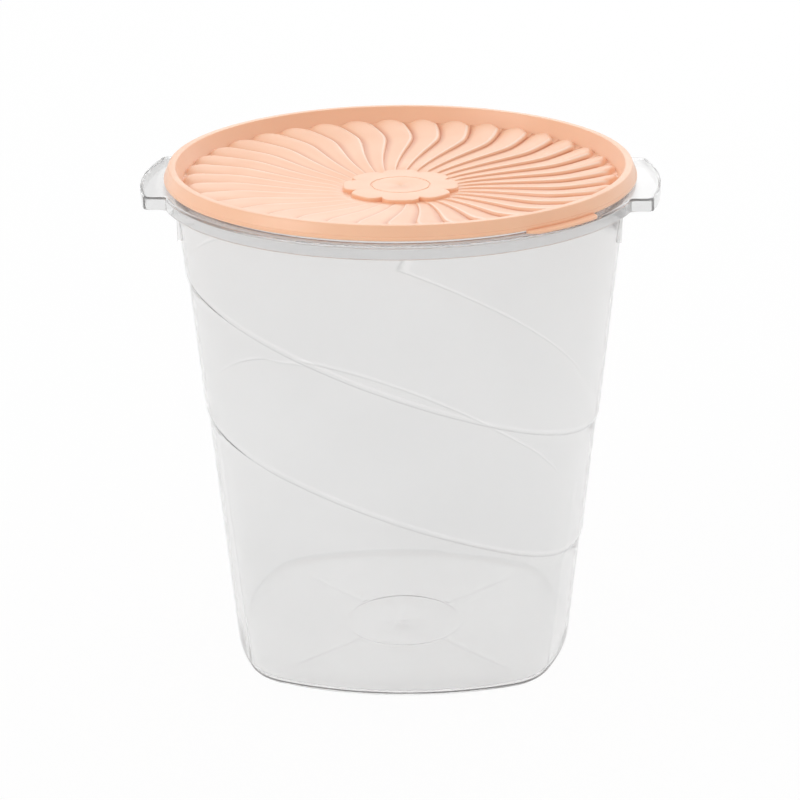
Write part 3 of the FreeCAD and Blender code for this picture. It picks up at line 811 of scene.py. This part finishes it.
def pleat_tree():
    """Geometry tree of the pleated panel: one swirling pleat, shaped by rule and repeated round the axis."""
    tree, make, given, result = new_tree(
        "pleat_swirl", "GeometryNodeTree",
        sockets("Int", "Pleats", "Rows", "Columns") + sockets(
            "Float", "Inner Radius", "Outer Radius", "Middle Level", "Edge Level", "Inner Height",
            "Outer Height", "Start Radius", "Knee Radius", "Inner Swirl", "Outer Swirl", "Phase",
            "Tip Radius", "Tip Round", "Tip Sag") + sockets("Material", "Material"),
        sockets("Geometry", "Geometry"))
    want = given.outputs
    grid = make.add("GeometryNodeMeshGrid", {
        "Size X": 1.0, "Size Y": 1.0, "Vertices X": want["Rows"], "Vertices Y": want["Columns"]})
    flat = make.add("ShaderNodeSeparateXYZ", {0: make.add("GeometryNodeInputPosition").outputs[0]})
    out_part = make.math("ADD", flat.outputs[0], 0.5)
    side_part = make.math("ADD", flat.outputs[1], 0.5)
    reach = make.less(1.0, make.math("POWER", make.less(1.0, out_part), ROW_CROWDING))
    radius = make.between(want["Inner Radius"], want["Outer Radius"], reach)
    across = make.math("POWER", side_part, COLUMN_CROWDING)
    gone = make.less(radius, want["Knee Radius"])
    bend = make.times(want["Knee Radius"], KNEE_SOFTNESS)
    square = make.math("MULTIPLY_ADD", gone, gone, make.times(bend, bend))
    crease_line = want["Phase"]
    for end, swirl, power in (("Start Radius", "Inner Swirl", 1.25), ("Outer Radius", "Outer Swirl", 1.1)):
        whole = make.less(want[end], want["Knee Radius"])
        beyond = make.math("DIVIDE", gone, make.math("ABSOLUTE", whole))
        spread = make.math("DIVIDE", make.math("SQRT", square), make.math("ABSOLUTE", whole))
        along = make.times(beyond, make.math("SIGN", whole))
        part = make.times(make.math("ADD", along, spread), 0.5)
        crease_line = make.math("MULTIPLY_ADD", make.math("POWER", part, power), want[swirl], crease_line)
    sector = make.math("DIVIDE", FULL_TURN, want["Pleats"])
    heading = make.math("MULTIPLY_ADD", across, sector, crease_line)

    inner_fold = make.curve(across, ((0, 0), (0.03, 0.5), (0.07, 0.95), (0.12, 1), (0.5, 0.62), (1, 0)))
    outer_fold = make.curve(
        across, ((0, 0), (0.04, 0.5), (0.14, 0.88), (0.3, 1), (0.6, 0.84), (0.85, 0.42), (1, 0)))
    fold = make.between(inner_fold, outer_fold, make.smooth_step(reach, 0.45, 1.0))
    risen = make.times(want["Start Radius"], RISEN_RADIUS)
    rising = make.smooth_step(radius, want["Start Radius"], risen)
    swell = make.math("POWER", reach, SWELL_POWER)
    height = make.times(make.between(want["Inner Height"], want["Outer Height"], swell), rising)
    from_middle = make.math("MULTIPLY_ADD", across, 2.0, -1.0)
    sag = make.times(make.math("POWER", from_middle, 2.0), want["Tip Sag"])
    tip_start = make.less(make.less(want["Tip Radius"], sag), want["Tip Round"])
    past = make.math("DIVIDE", make.less(radius, tip_start), want["Tip Round"])
    past = make.math("MINIMUM", make.math("MAXIMUM", past, 0.0), 1.0)
    tip = make.math("SQRT", make.less(1.0, make.times(past, past)))
    rise = make.times(make.times(fold, height), tip)
    level = make.math("ADD", make.between(want["Middle Level"], want["Edge Level"], reach), rise)

    spot = make.add("ShaderNodeCombineXYZ", {
        0: make.times(radius, make.math("COSINE", heading)),
        1: make.times(radius, make.math("SINE", heading)), 2: level})
    # Painted shade in the creases, weaker towards the boss, less a painted highlight along the crests, stored
    # for the material.
    crease_shade_and_crest_highlight = make.less(1.0, make.smooth_step(fold, 0.0, 0.5))
    crease_shade_and_crest_highlight = make.times(crease_shade_and_crest_highlight, make.between(CREASE_SHADE_AT_BOSS, 1.0, reach))
    crest_highlight_mask = make.curve(across, ((0, 0), (0.04, 0), (0.10, 1), (0.18, 0), (1, 0)))
    crease_shade_and_crest_highlight = make.less(crease_shade_and_crest_highlight, make.times(make.times(crest_highlight_mask, rising), tip))
    marked = make.add("GeometryNodeStoreNamedAttribute", {
        "Geometry": grid.outputs["Mesh"], "Name": "crease", "Value": crease_shade_and_crest_highlight},
        data_type="FLOAT", domain="POINT")
    shaped = make.add("GeometryNodeSetPosition", {"Geometry": marked.outputs[0], "Position": spot.outputs[0]})
    spots = make.add("GeometryNodePoints", {"Count": want["Pleats"]})
    turn = make.times(make.add("GeometryNodeInputIndex").outputs[0], sector)
    real = make.turned_copies(spots.outputs[0], shaped.outputs[0], turn)
    joined = make.add("GeometryNodeMergeByDistance", {"Geometry": real, "Distance": WELD})
    painted = make.add("GeometryNodeSetMaterial", {
        "Geometry": joined.outputs[0], "Material": want["Material"]})
    make.fill(result, {0: painted.outputs[0]})
    return tree


class CANISTER_OT_panel(Operator):
    """Build the dished lid panel with its swirl of pleats"""
    bl_idname = "canister.panel"
    bl_label = "Pleated panel"

    def execute(self, context):
        sizes = context.scene.canister_lid
        material = peach_plastic(context.scene.canister_finish)
        mesh = built_mesh("pleats", pleat_tree(), {
            "Pleats": sizes.pleats, "Inner Radius": sizes.boss_root,
            "Outer Radius": sizes.panel_radius + sizes.wall, "Middle Level": sizes.panel_middle,
            "Edge Level": sizes.panel_edge, "Inner Height": sizes.pleat_inner_height,
            "Outer Height": sizes.pleat_outer_height, "Start Radius": sizes.pleat_start,
            "Knee Radius": sizes.knee_radius, "Inner Swirl": sizes.inner_swirl,
            "Outer Swirl": sizes.outer_swirl, "Phase": sizes.pleat_phase, "Tip Radius": sizes.pleat_tip,
            "Tip Round": sizes.tip_round, "Tip Sag": sizes.tip_sag,
            "Rows": PLEAT_ROWS, "Columns": PLEAT_COLUMNS, "Material": material}, thickness=sizes.wall)
        piece = finish_piece("lid_panel", mesh, material, "lid", 50)
        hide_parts("lid")
        return {"FINISHED"}


class CANISTER_OT_rim(Operator):
    """Build the turned lid rim, whose channel presses over the neck"""
    bl_idname = "canister.rim"
    bl_label = "Lid rim"

    def execute(self, context):
        sizes = context.scene.canister_lid
        bead_top = sizes.lip_low + sizes.bead
        lip_inner = sizes.lip_radius - sizes.wall
        lean = (sizes.lip_radius - sizes.crest_outer) / (sizes.crest_height - bead_top)
        groove = sizes.lip_radius - sizes.bead_groove
        fine = sizes.bead_groove
        outline = rounded([
            (sizes.panel_radius - sizes.wall, sizes.panel_edge - sizes.wall, 0),
            (sizes.panel_radius, sizes.panel_edge, 0),
            (sizes.crest_inner, sizes.crest_height, sizes.crest_round),
            (sizes.crest_outer, sizes.crest_height, sizes.crest_round),
            (sizes.lip_radius - 2 * fine * lean, bead_top + 2 * fine, fine),
            (groove, bead_top + fine, fine / 2),
            (sizes.lip_radius, bead_top, fine),
            (sizes.lip_radius, sizes.lip_low, 2 * fine),
            (lip_inner, sizes.lip_low, fine),
            (sizes.channel_outer, sizes.channel_top, fine),
            (sizes.channel_inner, sizes.channel_top, fine),
            (sizes.channel_inner, sizes.channel_top - sizes.plug_depth, fine),
            (sizes.panel_radius + sizes.wall, sizes.panel_edge - sizes.wall, 0),
        ])
        headings = np.linspace(0, FULL_TURN, RIM_COLUMNS, endpoint=False)
        rows = [ring(across, up, headings) for across, up in outline]
        lid_piece(context, "lid_rim", rows, sharp=40, closed=True)
        return {"FINISHED"}


def lobe_radius(sizes, off_lobe):
    """Radius to the edge of a squarish lobe at turns off its own line, found by halving."""
    low = np.full(off_lobe.shape, sizes.boss_root)
    high = np.full(off_lobe.shape, sizes.boss_tip)
    for _ in range(LOBE_ROUNDS):
        middle = (low + high) / 2
        past_root = np.maximum(middle * np.cos(off_lobe) - sizes.boss_root, 0)
        along = past_root / (sizes.boss_tip - sizes.boss_root)
        aside = middle * np.sin(off_lobe) / sizes.boss_half_width
        inside = along ** sizes.boss_power + aside ** sizes.boss_power < 1
        low = np.where(inside, middle, low)
        high = np.where(inside, high, middle)
    return low


class CANISTER_OT_boss(Operator):
    """Build the scalloped boss in the middle of the lid, with a plain ring groove"""
    bl_idname = "canister.boss"
    bl_label = "Lid boss"

    def execute(self, context):
        sizes = context.scene.canister_lid
        sector = FULL_TURN / sizes.boss_lobes
        headings = np.linspace(0, FULL_TURN, LOBE_COLUMNS * sizes.boss_lobes, endpoint=False)
        off_lobe = np.abs((headings - sizes.boss_turn + sector / 2) % sector - sector / 2)
        lobe = lobe_radius(sizes, off_lobe)
        top = sizes.boss_top
        soft = sizes.boss_round
        rows = [pole(sizes.panel_middle - sizes.wall), ring(lobe, sizes.panel_middle - sizes.wall, headings)]
        for gone, left in quarter(7):
            rows.append(ring(lobe - soft * gone, top - soft * left, headings))
        depth = sizes.boss_ring_depth
        half = sizes.boss_ring_width / 2
        for radius, drop in ((1.3 * sizes.boss_ring, 0), (sizes.boss_ring + half, 0),
                             (sizes.boss_ring + half / 2, depth), (sizes.boss_ring - half / 2, depth),
                             (sizes.boss_ring - half, 0), (half * 5, 0), (half * 3, depth), (half, depth)):
            rows.append(ring(radius, top - drop, headings))
        rows.append(pole(top - depth / 2))
        lid_piece(context, "lid_boss", rows)
        return {"FINISHED"}


class CANISTER_OT_tab(Operator):
    """Build the lift tab on the lid's lip"""
    bl_idname = "canister.tab"
    bl_label = "Lift tab"

    def execute(self, context):
        sizes = context.scene.canister_lid
        root = sizes.lip_radius - sizes.wall / 2
        reach = sizes.tab_radius - root
        soft = sizes.tab_thickness / 3
        high = sizes.tab_low + sizes.tab_thickness
        rows = []
        for part in np.linspace(0, 1, 41):
            heading = sizes.tab_start + sizes.tab_span * part
            near = min(1.0, TAB_BLUNT + part / TAB_FIRST_END)
            far = min(1.0, TAB_BLUNT + (1 - part) / TAB_LAST_END)
            out = root + reach * math.sqrt(1 - (1 - near) ** 2) * math.sqrt(1 - (1 - far) ** 2)
            section = rounded([(root, high, 0), (root, sizes.tab_low, 0), (out, sizes.tab_low, soft),
                               (out, high, soft)])
            rows.append(np.array([
                (across * math.cos(heading), across * math.sin(heading), up) for across, up in section]))
        first = rows[0].mean(axis=0, keepdims=True)
        last = rows[-1].mean(axis=0, keepdims=True)
        lid_piece(context, "lid_tab", [first] + rows + [last])
        return {"FINISHED"}


# Stage
def floor_material(stage):
    """Pale floor that reads as plain white and still shows the soft shadow of what stands on it."""
    material = bpy.data.materials.new("studio_floor")
    material.use_nodes = True
    make = TreeMaker(material.node_tree)
    shader = material.node_tree.nodes["Principled BSDF"]
    make.fill(shader, {"Base Color": stage.floor_colour, "Roughness": 0.9, "Specular IOR Level": 0.0})
    path = make.add("ShaderNodeLightPath")
    seen = make.math("MAXIMUM", path.outputs["Is Camera Ray"], path.outputs["Is Glossy Ray"])
    seen = make.math("MAXIMUM", seen, path.outputs["Is Transmission Ray"])
    white = make.add("ShaderNodeEmission", {"Color": (1, 1, 1, 1), "Strength": 1.0})
    mix_surface(make, make.times(seen, stage.floor_glow), shader, white)
    return material


def add_lamp(name, power, place, size):
    """Square soft lamp that faces the canister."""
    lamp = bpy.data.lights.new(name, "AREA")
    lamp.energy = power
    lamp.size = size
    holder = bpy.data.objects.new(name, lamp)
    aim = Vector(LAMP_AIM) - Vector(place)
    holder.matrix_world = Matrix.Translation(place) @ aim.to_track_quat("-Z", "Y").to_matrix().to_4x4()
    bpy.context.scene.collection.objects.link(holder)


def add_world(stage):
    """Even studio light all round, seen as plain white behind the object."""
    world = bpy.data.worlds.new("studio")
    world.use_nodes = True
    bpy.context.scene.world = world
    make = TreeMaker(world.node_tree)
    path = make.add("ShaderNodeLightPath")
    seen = make.math("MAXIMUM", path.outputs["Is Camera Ray"], path.outputs["Is Transmission Ray"])
    aim = make.add("ShaderNodeSeparateXYZ", {0: make.add("ShaderNodeTexCoord").outputs["Generated"]}).outputs
    level = make.between(stage.near_side, stage.horizon, make.smooth_step(aim[1], -0.9, 0.1))
    sky = make.between(level, stage.zenith, make.smooth_step(aim[2], 0.15, 0.75))
    make.fill(world.node_tree.nodes["Background"], {
        "Color": (1, 1, 1, 1), "Strength": make.between(sky, 1.0, seen)})


def add_camera(stage):
    """Camera at the angle from which the canister is shown."""
    camera = bpy.data.cameras.new("camera")
    camera.lens = stage.lens
    camera.sensor_width = 36
    holder = bpy.data.objects.new("camera", camera)
    turn = Matrix.Rotation(stage.camera_yaw, 4, "Z")
    pitch = Matrix.Rotation(QUARTER_TURN - stage.camera_pitch, 4, "X")
    roll = Matrix.Rotation(stage.camera_roll, 4, "Z")
    holder.matrix_world = Matrix.Translation(stage.camera_place) @ turn @ pitch @ roll
    bpy.context.scene.collection.objects.link(holder)
    bpy.context.scene.camera = holder


class CANISTER_OT_stage(Operator):
    """Set up the floor, lamps, world and camera"""
    bl_idname = "canister.stage"
    bl_label = "Studio stage"

    def execute(self, context):
        stage = context.scene.canister_stage
        half = stage.floor_size / 2
        mesh = bpy.data.meshes.new("studio_floor")
        corners = [(-half, -half, 0), (half, -half, 0), (half, half, 0), (-half, half, 0)]
        mesh.from_pydata(corners, [], [(0, 1, 2, 3)])
        mesh.materials.append(floor_material(stage))
        ground = bpy.data.objects.new("studio_floor", mesh)
        ground.location.z = -FLOOR_GAP
        context.scene.collection.objects.link(ground)
        add_lamp("key_lamp", stage.key_power, KEY_PLACE, KEY_SIZE)
        add_lamp("back_lamp", stage.back_power, BACK_PLACE, BACK_SIZE)
        add_world(stage)
        add_camera(stage)
        context.scene.view_settings.view_transform = "Standard"
        return {"FINISHED"}


BUILD_ORDER = (
    CANISTER_OT_tub, CANISTER_OT_lugs, CANISTER_OT_panel, CANISTER_OT_rim,
    CANISTER_OT_boss, CANISTER_OT_tab, CANISTER_OT_stage)
SETTINGS = {
    "canister_tub": CanisterTubSizes,
    "canister_lid": CanisterLidSizes,
    "canister_finish": CanisterFinish,
    "canister_stage": CanisterStage,
}


class CANISTER_PT_sidebar(Panel):
    """Lists the steps that build the canister"""
    bl_idname = "CANISTER_PT_sidebar"
    bl_label = "Food canister"
    bl_space_type = "VIEW_3D"
    bl_region_type = "UI"
    bl_category = "Canister"

    def draw(self, context):
        for step in BUILD_ORDER:
            self.layout.operator(step.bl_idname)


def register():
    for group in SETTINGS.values():
        bpy.utils.register_class(group)
    for step in BUILD_ORDER + (CANISTER_PT_sidebar,):
        bpy.utils.register_class(step)
    for name, group in SETTINGS.items():
        setattr(bpy.types.Scene, name, PointerProperty(type=group))


def unregister():
    for name in SETTINGS:
        delattr(bpy.types.Scene, name)
    for step in (CANISTER_PT_sidebar,) + BUILD_ORDER[::-1]:
        bpy.utils.unregister_class(step)
    for group in SETTINGS.values():
        bpy.utils.unregister_class(group)


def main():
    register()
    for step in BUILD_ORDER:
        family, name = step.bl_idname.split(".")
        getattr(getattr(bpy.ops, family), name)()


if __name__ == "__main__":
    main()
